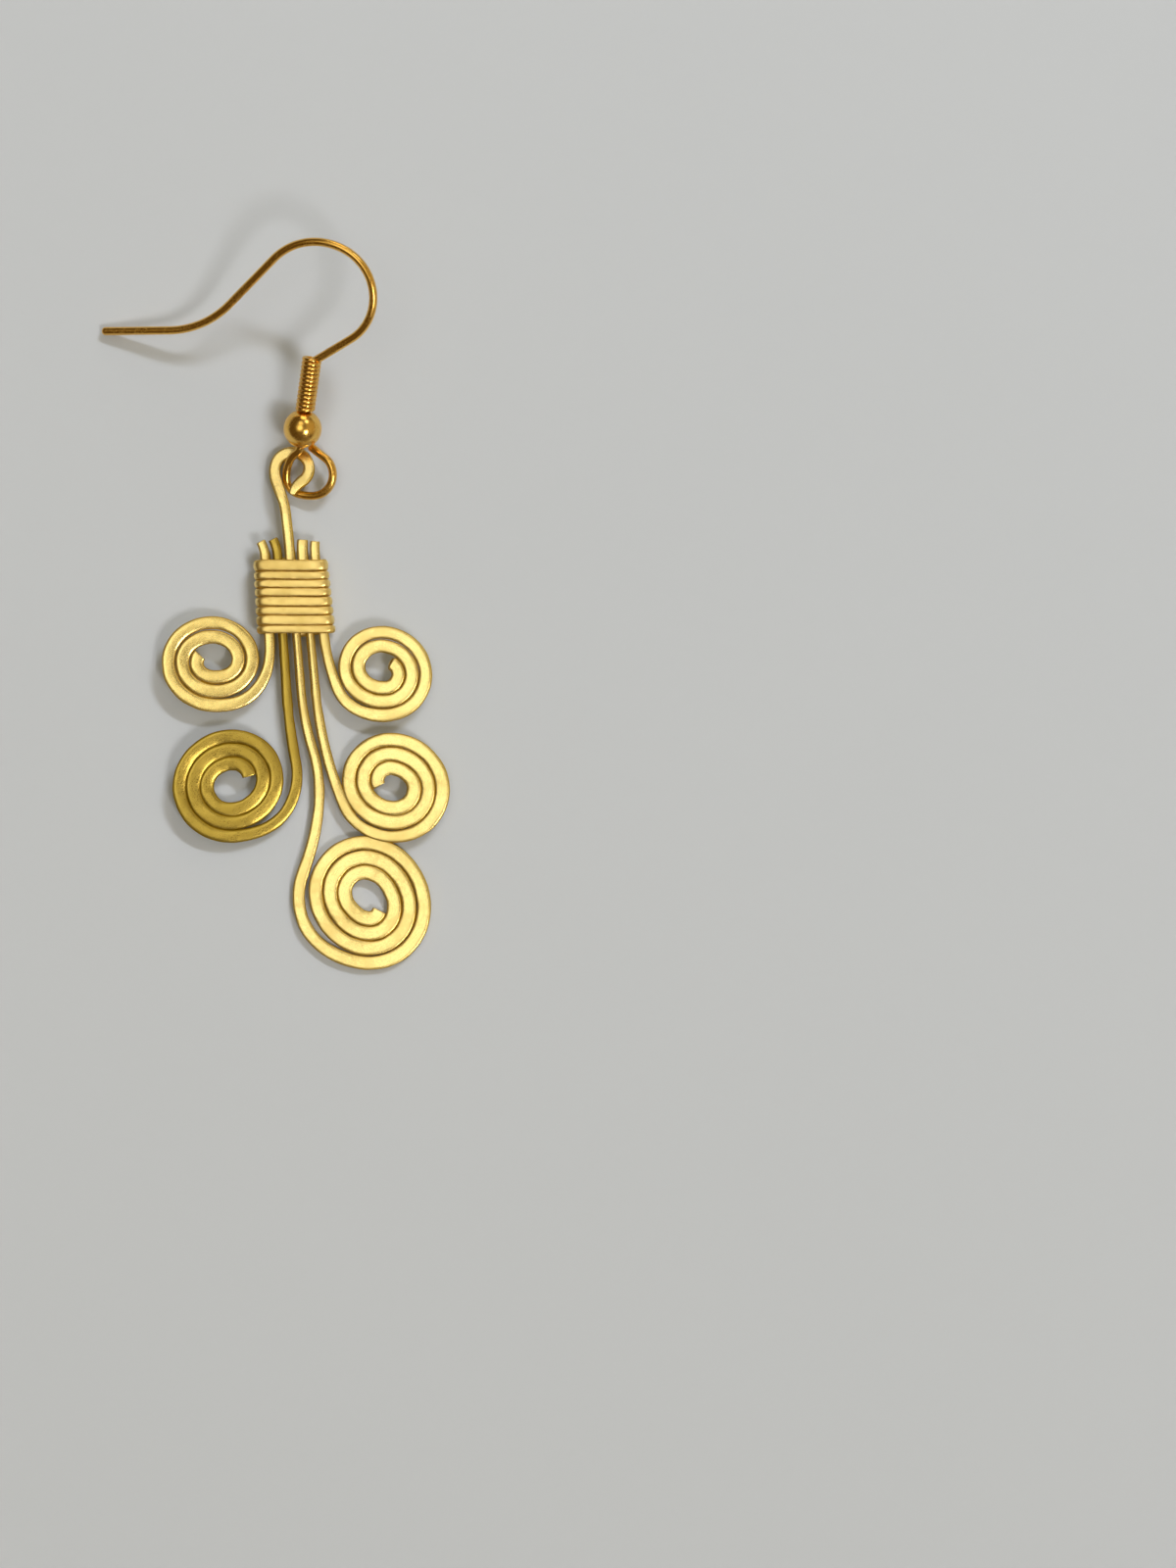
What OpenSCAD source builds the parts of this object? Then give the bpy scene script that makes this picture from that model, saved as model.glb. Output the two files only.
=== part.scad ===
// Spiral earring, lying on its back: an ear hook with a coil and a bead, and a pendant of five
// hammered wires under a wound binding. +Y is towards the hook, +Z is up from the surface that it
// lies on, and the origin is under the middle of the whole.

/* [Ear hook] */
// Diameter of the hook's round wire
hook_wire = 0.65; // [0.5:0.01:0.66]
// Length of the straight tail that goes through the ear
tail_length = 5.6; // [4:0.1:5.6]

/* [Coil and bead] */
// Diameter of the fine wire of the coil
coil_wire = 0.4; // [0.34:0.01:0.42]
// Turns in the coil
coil_turns = 12; // [6:1:12]
// Distance between turns of the coil
coil_pitch = 0.295; // [0.25:0.005:0.3]
// Diameter of the coil's inside
coil_bore = 0.78; // [0.76:0.01:0.82]
// Diameter of the bead
bead_diameter = 3; // [2.4:0.1:3.2]
// Diameter of the bead's bore
bead_bore = 0.76; // [0.72:0.01:0.9]

/* [Pendant wires] */
// Diameter of the pendant's round wire
wire = 0.68; // [0.6:0.01:0.68]
// Thickness of the wire where it is hammered flat
flat_thickness = 0.5; // [0.4:0.01:0.54]
// Width of the hammered wire in the two upper spirals
upper_width = 0.82; // [0.7:0.01:0.86]
// Width of the hammered wire in the two lower spirals
lower_width = 0.84; // [0.7:0.01:0.85]
// Width of the hammered wire in the centre spiral
centre_width = 0.86; // [0.7:0.01:0.88]

/* [Binding] */
// Turns of wire round the five wires
binding_turns = 8; // [6:1:8]
// Distance between turns of the binding
binding_pitch = 0.73; // [0.68:0.01:0.75]
// Width of the binding's flattened wire
binding_width = 0.78; // [0.76:0.01:0.8]
// Thickness of the binding's flattened wire
binding_thickness = 0.6; // [0.4:0.01:0.6]

/* [Hidden] */
$fn = 48;

// A wire is a table with a row for each stretch, from its start to its end: the length, the turn
// to the left in degrees, and the roll about the wire before the stretch, which tips the plane
// that the rest is bent in
LENGTH = 0;
TURN = 1;
ROLL = 2;

// Play between two stretches of a wire, and the short collar over it: its length, and how much
// wider than the wire it is
joint_play = 0.01;
collar_length = 0.1;
collar_proud = 0.03;
// Play between the binding and the wires inside it
binding_play = 0.03;

// Where the straight tail ends and the hook starts to bend, the direction of the low edge of the
// plane that the hook is bent in, the tilt of that plane, and the tail's direction in it
hook_bend = [-8.14, 21.77, 1.8];
hook_direction = -40.45;
hook_tilt = 23;
tail_direction = 41.67;
// Length of the shank that goes through the coil and the bead
shank_length = 6.66;
// Distances along the shank to the coil's first turn and to the bead's centre
coil_start = 0.05;
bead_place = 5.14;

// From the tip: tail, sweep up, rise, arch, drop, the bend at the coil, shank, and the loop
tail_and_arch = [
    [tail_length, 0, 0],
    [5.7, 41.4, 0],
    [5.3, 0, 0],
    [6.4, -73.1, 0],
    [8.25, -119.8, 0],
    [3.67, 0, 0],
    [0.36, 48.7, 0]
];
shank_and_loop = [
    [shank_length, 0, 0],
    [0.6, -46, 0],
    [0.95, 31, 0],
    [1.5, 28, 0],
    [1.5, 73, 0],
    [1.35, 20, 0],
    [3.4, 112, 0],
    [1.35, 32, 0],
    [0.3, -8, 0]
];
hook_rows = concat(tail_and_arch, shank_and_loop);

// Middle of the binding, the pendant's dip towards its bottom, and how far its wires lean
bundle_middle = [1.557, 0.932, 1.049];
bundle_dip = 1.53;
bundle_lean = 4.5;
// Five wires lie side by side: the distance between two, and how far each fans out, in degrees
slot_pitch = 1.025;
slot_fan = 0.85;

// Each pendant wire: its slot in the binding, counted from the middle one, the hand that its
// spiral turns to, the first radius, the fall of the radius at each quarter turn, the whole
// quarters and the degrees left over
SLOT = 0;
HAND = 1;
RADIUS = 2;
FALL = 3;
QUARTERS = 4;
REST = 5;
centre_plan = [0, 1, 4.78, 0.2825, 12, 50];
upper_left_plan = [-2, -1, 3.5, 0.26, 9, 8];
lower_left_plan = [-1, -1, 4.22, 0.2725, 10, 52];
lower_right_plan = [1, 1, 4.04, 0.28, 10, 82];
upper_right_plan = [2, 1, 3.48, 0.26, 9, 25];

// The stems, from the middle of the binding down. The last stretch is flat, and bends as far as
// it takes to start the spiral square to the length of the earring, so it has no turn here.
LEVEL = 0;
centre_stem = [
    [7.1, 0, 0],
    [4.95, 12.5, 0],
    [4.75, -23, 0],
    [4, -12.5, 0],
    [1.4, 0, 0],
    [9.95, LEVEL, 0]
];
upper_left_stem = [
    [3.3, 0, 0],
    [1.5, -9, 0],
    [6.1, LEVEL, -3]
];
lower_left_stem = [
    [7.1, 0, 0],
    [5.9, 7, 0],
    [3.7, -41.5, 0],
    [5.05, LEVEL, -4]
];
lower_right_stem = [
    [7.4, 0, 0],
    [3.75, 6.5, 0],
    [5.68, 11.5, 0],
    [4.6, LEVEL, 4]
];
upper_right_stem = [
    [3.1, 0, 0],
    [4.25, 15.5, 0],
    [4.45, LEVEL, 2.5]
];

// From the middle of the binding up: the centre wire dips twice and turns back into an eye
eye_rows = [
    [3.1, 0, 0],
    [2.9, 2, 0],
    [0.6, -5, 90],
    [1.3, 14, -90],
    [0.6, -9.6, 90],
    [0.9, -2, -90],
    [1.15, -29, 0],
    [4.4, -186, 0],
    [0.8, -41, 0],
    [1.4, 42, 0]
];
// The other four end in short stubs: how far they stand out of the binding, and their curl
in_binding = 3;
upper_left_stub = [1.45, 13];
lower_left_stub = [1.6, 14];
lower_right_stub = [1.45, -9];
upper_right_stub = [1.25, -10];

function bend_radius(row) = row[LENGTH] / abs(row[TURN]) * 180 / PI;

function roll(angle) = [
    [1, 0, 0, 0],
    [0, cos(angle), -sin(angle), 0],
    [0, sin(angle), cos(angle), 0],
    [0, 0, 0, 1]
];

// The place and direction at the end of a stretch, seen from its start
function stretch_end(row) =
    row[TURN] == 0
    ? [[1, 0, 0, row[LENGTH]], [0, 1, 0, 0], [0, 0, 1, 0], [0, 0, 0, 1]]
    : let (a = row[TURN], r = bend_radius(row) * sign(a))
      [
          [cos(a), -sin(a), 0, r * sin(a)],
          [sin(a), cos(a), 0, r * (1 - cos(a))],
          [0, 0, 1, 0],
          [0, 0, 0, 1]
      ];

// The place and direction in which stretch i starts, rolled, seen from the wire's start
function pose(rows, i) =
    i == 0 ? roll(rows[0][ROLL]) : pose(rows, i - 1) * stretch_end(rows[i - 1]) * roll(rows[i][ROLL]);

function wire_end(rows) = let (last = len(rows) - 1) pose(rows, last) * stretch_end(rows[last]);

function turn_so_far(rows, i) = i < 0 ? 0 : rows[i][TURN] + turn_so_far(rows, i - 1);

// A stem with its last turn filled in
function levelled(stem, plan) =
    let (last = len(stem) - 1)
    let (level = plan[HAND] * 90 - bundle_lean - slot_fan * plan[SLOT] - turn_so_far(stem, last))
    [for (i = [0 : last]) i < last ? stem[i] : [stem[i][LENGTH], level, stem[i][ROLL]]];

// Cross-section of a wire: round, or hammered down to a smaller thickness
module section(width, thickness) {
    if (thickness >= width)
        circle(d = width);
    else
        intersection() {
            circle(d = width);
            square([2 * width, thickness], center = true);
        }
}

module straight(length, diameter) {
    translate([joint_play, 0, 0])
        rotate([0, 90, 0]) cylinder(d = diameter, h = length - 2 * joint_play);
}

module bend(row, width, thickness) {
    r = bend_radius(row);
    side = sign(row[TURN]);
    play = joint_play / r * 180 / PI;
    start = side > 0 ? -90 : 90 + row[TURN];
    translate([0, side * r, 0])
        rotate(start + play)
            rotate_extrude(angle = abs(row[TURN]) - 2 * play)
                translate([r, 0]) section(width, thickness);
}

module collar(width, thickness) {
    translate([-collar_length / 2, 0, 0])
        if (thickness >= width)
            rotate([0, 90, 0]) cylinder(d = width + collar_proud, h = collar_length);
        else
            rotate([90, 0, 90])
                linear_extrude(collar_length) section(width + collar_proud, thickness + collar_proud);
}

// A round wire along its rows, with a collar over each joint; the ends are plain cuts
module bent_wire(rows, diameter) {
    for (i = [0 : len(rows) - 1])
        multmatrix(pose(rows, i)) {
            if (rows[i][TURN] == 0)
                straight(rows[i][LENGTH], diameter);
            else
                bend(rows[i], diameter, diameter);
            if (i > 0)
                collar(diameter, diameter);
        }
}

// Quarter arcs of a falling radius. Their hub walks round a small square, whose side is the fall,
// so each arc runs on from the last one without a kink.
module spiral(plan, width) {
    r = plan[RADIUS];
    fall = plan[FALL];
    hubs = [[0, r], [fall, r], [fall, r + fall], [0, r + fall]];
    for (k = [0 : plan[QUARTERS]])
        translate(hubs[k % 4])
            rotate(90 * (k - 1))
                rotate_extrude(angle = k < plan[QUARTERS] ? 90 : plan[REST])
                    translate([r - fall * k, 0]) section(width, flat_thickness);
}

// To the middle of the binding, +X down the wires, +Y across them to the right
module in_bundle() {
    translate(bundle_middle) rotate([bundle_dip, 0, 0]) rotate(bundle_lean - 90) children();
}

module in_slot(slot) {
    in_bundle() translate([0, slot_pitch * slot, 0]) rotate(slot_fan * slot) children();
}

// A pendant wire: what stands above the binding, the round stem, the flat bend and the spiral
module pendant_wire(plan, stem, top, width) {
    rows = levelled(stem, plan);
    last = len(rows) - 1;
    round_rows = [for (i = [0 : last - 1]) rows[i]];
    in_slot(plan[SLOT]) {
        rotate(180) bent_wire(top, wire);
        collar(wire, wire);
        bent_wire(round_rows, wire);
        multmatrix(pose(rows, last)) {
            collar(wire, wire);
            bend(rows[last], width, flat_thickness);
        }
        multmatrix(wire_end(rows)) {
            collar(width, flat_thickness);
            if (plan[HAND] > 0)
                spiral(plan, width);
            else
                mirror([0, 1, 0]) spiral(plan, width);
        }
    }
}

function stub_rows(stub) = [[in_binding, 0, 0], [stub[0], stub[1], 0]];

// To the hook's tip, +X along the tail
module at_tip() {
    translate(hook_bend) rotate(hook_direction) rotate([hook_tilt, 0, 0]) rotate(tail_direction)
        translate([-tail_length, 0, 0]) children();
}

// To a distance along the shank, +X down it
module on_shank(distance) {
    at_tip() multmatrix(wire_end(tail_and_arch)) translate([distance, 0, 0]) children();
}

module ear_hook() {
    color("darkgoldenrod")
        at_tip() bent_wire(hook_rows, hook_wire);
}

module coil() {
    coil_radius = coil_bore / 2 + coil_wire / 2;
    color("goldenrod")
        on_shank(coil_start)
            for (k = [0 : coil_turns - 1])
                translate([coil_pitch * k, 0, 0])
                    rotate([0, 90, 0])
                        rotate_extrude() translate([coil_radius, 0]) circle(d = coil_wire);
}

module bead() {
    color("darkgoldenrod")
        on_shank(bead_place)
            rotate([0, 90, 0])
                difference() {
                    sphere(d = bead_diameter);
                    cylinder(d = bead_bore, h = 2 * bead_diameter, center = true);
                }
}

// One turn round the five wires: two straights and two half rounds
module binding_turn(half_width) {
    r = wire / 2 + binding_play + binding_thickness / 2;
    rotate([90, 0, 90])
        for (side = [-1, 1]) {
            translate([-half_width, side * r, 0])
                rotate([0, 90, 0])
                    linear_extrude(2 * half_width) section(binding_width, binding_thickness);
            translate([side * half_width, 0, 0])
                rotate(side * -90) rotate_extrude(angle = 180)
                    translate([r, 0]) rotate(90) section(binding_width, binding_thickness);
        }
}

module binding() {
    middle = (binding_turns - 1) / 2;
    color("khaki")
        in_bundle()
            for (k = [0 : binding_turns - 1])
                translate([(k - middle) * binding_pitch, 0, 0])
                    binding_turn(2 * (slot_pitch + (k - middle) * binding_pitch * tan(slot_fan)));
}

module centre_wire() {
    color("gold")
        pendant_wire(centre_plan, centre_stem, eye_rows, centre_width);
}

module upper_left_wire() {
    color("gold")
        pendant_wire(upper_left_plan, upper_left_stem, stub_rows(upper_left_stub), upper_width);
}

module lower_left_wire() {
    color("darkkhaki")
        pendant_wire(lower_left_plan, lower_left_stem, stub_rows(lower_left_stub), lower_width);
}

module lower_right_wire() {
    color("gold")
        pendant_wire(lower_right_plan, lower_right_stem, stub_rows(lower_right_stub), lower_width);
}

module upper_right_wire() {
    color("gold")
        pendant_wire(upper_right_plan, upper_right_stem, stub_rows(upper_right_stub), upper_width);
}

ear_hook();
coil();
bead();
binding();
centre_wire();
upper_left_wire();
lower_left_wire();
lower_right_wire();
upper_right_wire();
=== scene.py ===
import math

import bpy
import numpy as np
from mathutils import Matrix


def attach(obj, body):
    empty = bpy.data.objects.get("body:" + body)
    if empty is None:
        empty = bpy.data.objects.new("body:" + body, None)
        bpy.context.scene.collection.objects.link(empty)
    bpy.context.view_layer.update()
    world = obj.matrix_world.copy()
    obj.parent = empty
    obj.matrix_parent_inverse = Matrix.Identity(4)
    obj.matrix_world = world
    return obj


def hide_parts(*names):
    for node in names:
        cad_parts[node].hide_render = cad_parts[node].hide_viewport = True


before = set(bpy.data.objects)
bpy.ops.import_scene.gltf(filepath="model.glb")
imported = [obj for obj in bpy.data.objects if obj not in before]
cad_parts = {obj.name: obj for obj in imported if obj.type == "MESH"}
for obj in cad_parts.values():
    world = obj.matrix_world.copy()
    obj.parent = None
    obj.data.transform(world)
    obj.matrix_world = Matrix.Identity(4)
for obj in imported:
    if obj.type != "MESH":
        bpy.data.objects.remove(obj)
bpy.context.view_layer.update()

MM = 0.001
luck = np.random.default_rng(7)

# The pendant's five wires, in millimetres and degrees, as in the frame's own solids

# Where the middle of the bundle lies, its dip towards the spirals, and its lean to the right
BUNDLE_MIDDLE = (1.557, 0.932, 1.049)
BUNDLE_DIP = 1.53
BUNDLE_LEAN = 4.5
# How far apart the wires lie in the bundle, and how much each fans out from the next
SLOT_PITCH = 1.025
SLOT_FAN = 0.85
# A wire's thickness as it is drawn, and where it is hammered flat
WIRE = 0.68
FLAT = 0.48

# A route is a list of stretches: length, turn to the left, roll before it.
# LEVEL is the turn that brings a wire to run straight across, where its spiral starts.
LEVEL = None
STEMS = {
    "centre": [(7.1, 0, 0), (4.95, 12.5, 0), (4.75, -23, 0), (4, -12.5, 0), (1.4, 0, 0),
               (9.95, LEVEL, 0)],
    "upper_left": [(3.3, 0, 0), (1.5, -9, 0), (6.1, LEVEL, -3)],
    "lower_left": [(7.1, 0, 0), (5.9, 7, 0), (3.7, -41.5, 0), (5.05, LEVEL, -4)],
    "lower_right": [(7.4, 0, 0), (3.75, 6.5, 0), (5.68, 11.5, 0), (4.6, LEVEL, 4)],
    "upper_right": [(3.1, 0, 0), (4.25, 15.5, 0), (4.45, LEVEL, 2.5)],
}
# What stands above the binding: the centre wire's eye, and four short stubs
TOPS = {
    "centre": [(3.1, 0, 0), (2.9, 2, 0), (0.6, -5, 90), (1.3, 14, -90), (0.6, -9.6, 90),
               (0.9, -2, -90), (1.15, -29, 0), (4.4, -186, 0), (0.8, -41, 0), (1.4, 42, 0)],
    "upper_left": [(3, 0, 0), (0.5, 4, 0), (1.1, 22, 0)],
    "lower_left": [(3, 0, 0), (0.6, 4, 0), (1.1, 20, 0)],
    "lower_right": [(3, 0, 0), (1.45, -9, 0)],
    "upper_right": [(3, 0, 0), (1.25, -10, 0)],
}
# How each wire ends, at its top and in the middle of its spiral
ENDS = {
    "centre": ("point", "cut"),
    "upper_left": ("cut", "cut"),
    "lower_left": ("cut", "cut"),
    "lower_right": ("cut", "cut"),
    "upper_right": ("cut", "round"),
}
# Each spiral: its slot in the bundle, its hand, its first radius and the radius's fall at each
# quarter, its whole quarters, and the degrees that are left after them
SPIRALS = {
    "centre": dict(slot=0, hand=1, radius=4.78, fall=0.2825, quarters=12, rest=62),
    "upper_left": dict(slot=-2, hand=-1, radius=3.5, fall=0.26, quarters=9, rest=34),
    "lower_left": dict(slot=-1, hand=-1, radius=4.22, fall=0.2725, quarters=10, rest=73),
    "lower_right": dict(slot=1, hand=1, radius=4.04, fall=0.28, quarters=11, rest=20),
    "upper_right": dict(slot=2, hand=1, radius=3.48, fall=0.26, quarters=9, rest=64),
}
# How far each spiral is from a true one: a shift outwards, its change at each quarter, an offset
# and an oval, each with its direction along the spiral
OUT_OF_TRUE = {
    "centre": dict(shift=0.0, drift=-0.0084, offset=0.179, offset_at=-151, oval=0.226, oval_at=33),
    "upper_left": dict(shift=0.056, drift=-0.0155, offset=0.097, offset_at=163, oval=0.161, oval_at=-89),
    "lower_left": dict(shift=-0.088, drift=0.0075, offset=0.097, offset_at=138, oval=0.12, oval_at=62),
    "lower_right": dict(shift=-0.014, drift=0.0015, offset=0.078, offset_at=-9, oval=0.14, oval_at=62),
    "upper_right": dict(shift=0.013, drift=-0.0073, offset=0.075, offset_at=-126, oval=0.132, oval_at=68),
}
# The quarters before its start over which a spiral takes on what is out of true
PUSH_OVER = 0.8
# Quarters are counted from a spiral's start, so on its stem they are less than 0 and more than
# the second number here. What stands above the binding has the first number instead.
TOP_MARK = -9.0
STEM_MARKS_FROM = -5.0

# Width of the wire at some quarters of its spiral: quarter, width
WIDTHS = {
    "centre": [(-3.5, 0.7), (-2, 0.84), (-1, 0.98), (0, 1.1), (0.75, 1.12), (1.5, 0.94), (2, 1.0),
               (3, 1.08), (4, 1.1), (8, 1.1), (10, 1.08), (12.5, 1.04)],
    "upper_left": [(-3, 0.66), (-1, 0.86), (0, 1.06), (1, 1.05), (1.5, 0.98), (2, 0.88), (2.5, 0.88),
                   (3, 0.94), (4, 1.02), (6, 0.98), (9, 0.96)],
    "lower_left": [(-3, 0.7), (-1, 0.88), (0, 1.02), (1, 1.04), (1.5, 0.98), (2, 0.94), (2.5, 0.96),
                   (3, 1.0), (4, 1.02), (6, 1.0), (8, 0.98), (10.5, 0.94)],
    "lower_right": [(-3, 0.66), (-1, 0.84), (0, 0.92), (0.5, 1.06), (1, 1.1), (1.5, 1.0), (2, 0.98),
                    (2.5, 1.04), (3, 1.06), (4, 1.06), (6, 1.06), (8, 1.07), (10.9, 1.02)],
    "upper_right": [(-3, 0.66), (-1, 0.84), (0, 1.04), (0.5, 1.04), (1, 1.0), (1.5, 0.92), (2, 0.86),
                    (2.5, 0.88), (3, 0.94), (4, 1.0), (6, 0.96), (7, 0.96), (9, 0.98)],
}
# The rings are hammered until they all but touch: from this quarter on, and over this many
# quarters, a wire widens to the pitch of its spiral
SPREAD_FROM = 0.3
SPREAD_OVER = 0.5
# The first ring stays this much narrower than the pitch and the inner ones are this much wider,
# with the change between these quarters
TOUCHING = 0.03
INNER_RINGS = (2.5, 4)
# A wire that is this much wider than it was drawn is as flat as it gets
FULLY_SPREAD = 0.2
# How square the section is of a wire as it is drawn, where 2 is round, and what is added to it
# where the wire is flat
DRAWN_SQUARE = 2.1
SQUARES = {"centre": 2.6, "upper_left": 2.0, "lower_left": 1.8, "lower_right": 2.6, "upper_right": 2.5}
# How far the hammered face of each spiral leans, as a slope to the right and up the picture
LEANS = {
    "centre": (-0.04, 0.045),
    "upper_left": (0.045, -0.03),
    "lower_left": (0.075, -0.075),
    "lower_right": (-0.02, 0.04),
    "upper_right": (-0.01, 0.02),
}
# Width and flatness of what stands above the binding
TOP_WIDTHS = {"centre": 0.82, "upper_left": 0.74, "lower_left": 0.74, "lower_right": 0.84,
              "upper_right": 0.74}
TOP_FLATNESS = 0.6
# The eye is hammered more than the rest of its wire: how far up that starts and over how far it
# grows, how much wider and flatter the eye is, and its face's lean to the right
EYE_FROM = 8.4
EYE_OVER = 1
EYE_WIDER = 0.06
EYE_FLATTER = 0.15
EYE_LEAN = 0.06

# Marks that the hammer leaves along a wire: the shortest and longest blow, how much the blows
# differ, and how soft their edges are. Those of the tilt differ by degrees.
WIDTH_BLOWS = (0.7, 1.7, 0.018, 0.2)
THICKNESS_BLOWS = (0.7, 1.7, 0.012, 0.25)
TILT_BLOWS = (0.8, 2.0, 1.2, 0.3)
# The share of the tilt that a wire gets where it is round
TILT_WHEN_ROUND = 0.25
# What wanders along a wire: how far apart its knots are, and how much they differ. They are
# softened over a share of the way between them.
WIDTH_WANDER = (0.5, 0.008)
SQUARE_WANDER = (1.5, 0.5)
KNOT_SOFTNESS = 0.35
# The pliers bend a spiral in short steps: the shortest and longest, in quarters, how far inside
# the true curve the middle of the deepest one lies, and the shares of that which the steps get by
# chance and in the outermost ring
PLIERS_STEP = (0.2, 0.42)
PLIERS_DEPTH = 0.035
PLIERS_CHANCE = (0.4, 1.0)
PLIERS_OUTERMOST = 0.35

# Samples of a wire: how far apart they are, and over how many of them its bends, its roll, its
# section and its direction are softened
WIRE_STEP = 0.05
BEND_BLUR = 2.6
ROLL_BLUR = 8
SECTION_BLUR = 10
AHEAD_BLUR = 2
WIRE_SIDES = 30

# Wires that look browner than the rest, and how much
AGES = {"upper_left": 0.12}

# The binding: one wire wound round the five

# Where each turn crosses the middle of the front, from the top down, and how wide it is there
BINDING_TURNS = [(-2.5, 0.9), (-1.715, 0.66), (-1.055, 0.65), (-0.395, 0.68), (0.335, 0.76),
                 (1.06, 0.68), (1.81, 0.8), (2.52, 0.64)]
# The pitch at the ends, to where a turn before the first and one after the last would be
BINDING_PITCH = 0.62
# How far along a turn gets for each millimetre across the front
BINDING_SLANT = 0.085
# The room between the binding and the five wires, half its wire's thickness as it is wound, and
# its thickness when it has been pressed
BINDING_GAP = 0.03
BINDING_HALF = 0.3
BINDING_THICK = 0.56
# What is off the width of each turn, for the groove beside it to show
BINDING_GROOVE = 0.01
# How round its bends are at the left and the right edge, where 1 is a circle and less is squarer
LEFT_BEND = 0.5
RIGHT_BEND = 0.28
# Its ends lie on the back, at these shares of the way across
BINDING_STARTS = 0.4
BINDING_ENDS = 0.55
# How much the front rises over each of the five wires
BINDING_RIPPLE = 0.012
# The section's squareness on the back, and what is added to it on the pressed front
BINDING_SQUARE = 2.4
PRESSED_SQUARE = 3.0
# Rows that a turn is worked out from: round an edge with its two ends, across the front or the
# back, and on the back where the wire starts. Two rows this close count as one.
EDGE_ROWS = 21
FACE_ROWS = 25
START_ROWS = 5
SAME_POINT = 0.001
# Samples of its wire: how far apart they are, and over how many of them its bends, its width and
# the edge of its front are softened
BINDING_STEP = 0.08
BINDING_BEND_BLUR = 1.6
BINDING_WIDTH_BLUR = 12
BINDING_FRONT_BLUR = 5
BINDING_SIDES = 24
BINDING_WIDTH_BLOWS = (1.2, 2.8, 0.012, 0.4)
BINDING_THICKNESS_BLOWS = (1.0, 2.4, 0.01, 0.4)
BINDING_TILT_BLOWS = (1.6, 3.4, 3.0, 0.5)
BINDING_WANDER = (1.6, 0.012)

# The ear hook, its coil and its bead

HOOK_WIRE = 0.644
HOOK_BLUR = 2.0
HOOK_SIDES = 36
HOOK_TAIL = 5.6
# Where the tail ends and the arch's first bend starts, and how the hook is turned there
HOOK_BEND = (-8.14, 21.77, 1.8)
HOOK_DIRECTION = -40.45
HOOK_TILT = 23
TAIL_DIRECTION = 41.67
TAIL_AND_ARCH = [(HOOK_TAIL, 0, 0), (5.7, 41.4, 0), (5.3, 0, 0), (6.4, -73.1, 0), (8.25, -119.8, 0),
                 (3.67, 0, 0), (0.36, 48.7, 0)]
SHANK_AND_LOOP = [(6.66, 0, 0), (0.6, -46, 0), (0.95, 31, 0), (1.5, 28, 0), (1.5, 73, 0),
                  (1.35, 20, 0), (3.21, 107.6, -9.1), (0.8, 36.5, -16), (1.62, -3.3, 0)]
# How much the hook's bends and its wire's width wander, as for the pendant's wires
HOOK_WANDER = (3.0, 0.008)
HOOK_WIDTH_WANDER = (1.5, 0.003)

COIL_OUTER = 1.575
COIL_WIRE = 0.32
# The coil's wire as it is wound: pressed a little flat, its face leaning towards the arch
COIL_WIDE = 0.305
COIL_THICK = 0.275
COIL_LEAN = 0.2
COIL_SQUARE = 3.2
COIL_TURNS = 12.4
COIL_PITCH = 0.334
# Where it starts, along the shank and round it
COIL_FROM = -0.57
COIL_START = 50
COIL_SAMPLES_A_TURN = 40
COIL_SIDES = 20
COIL_AGE = 0.1

BEAD = 3.0
BEAD_BORE = 0.76
# How far down the shank the bead's middle lies, the radius of the bore's rims, and how much
# shorter than the room between them the bore's straight part is at each end
BEAD_PLACE = 5.14
BEAD_RIM = 0.07
BEAD_BORE_SHORT = 0.05
# The way round its middle and between its samples, for the marks on it
BEAD_GIRTH = 9.4
BEAD_SAMPLE = 0.07
# Samples of its outline: over the ball, round a rim and along the bore. A rim's first sample is
# this angle past the ball's last one.
BALL_SAMPLES = 61
RIM_SAMPLES = 5
BORE_SAMPLES = 9
RIM_FROM = 0.2
BEAD_SIDES = 96

# Distances from a wire's end, and the share of its section there
END_SHAPES = {
    "round": [(0.3 * (1 - math.cos(a)), math.sin(a)) for a in np.linspace(0.12, math.pi / 2, 7)],
    "point": [(0.0, 0.34), (0.05, 0.46), (0.2, 0.6), (0.5, 0.78), (0.85, 0.92), (1.2, 1.0)],
    "cut": [(0.0, 0.84), (0.012, 0.92), (0.035, 0.97), (0.08, 1.0)],
}
# More samples this far from each end, but none closer to its neighbour than the second value
END_SAMPLES = np.array([0.012, 0.035, 0.06, 0.08, 0.1])
CLOSEST_SAMPLES = 0.004

# What makes a wire rougher from place to place: the shares of its lines and of its grain, and
# what full tarnish adds
LINES_IN_ROUGHNESS = 0.45
GRAIN_IN_ROUGHNESS = 0.55
TARNISH_ROUGHNESS = 0.45

# Table, light and camera, in metres unless a line says otherwise

TABLE_REACH = 2.5
TABLE_BELOW = 0.002 * MM
TABLE_COLOURS = ((0.547, 0.586, 0.646), (0.567, 0.606, 0.666))
# The lamp hangs at this height, and its other sizes are for each metre of it
CEILING = 0.8
LAMP_OVER = (0.665, 0.95)
LAMP_ALONG = (0.85, -0.5)
LAMP_LENGTH = 0.5
LAMP_WIDTH = 0.18
LAMP_POWER = 9.2
LAMP_COLOUR = (0.95, 0.985, 1.03)
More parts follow.
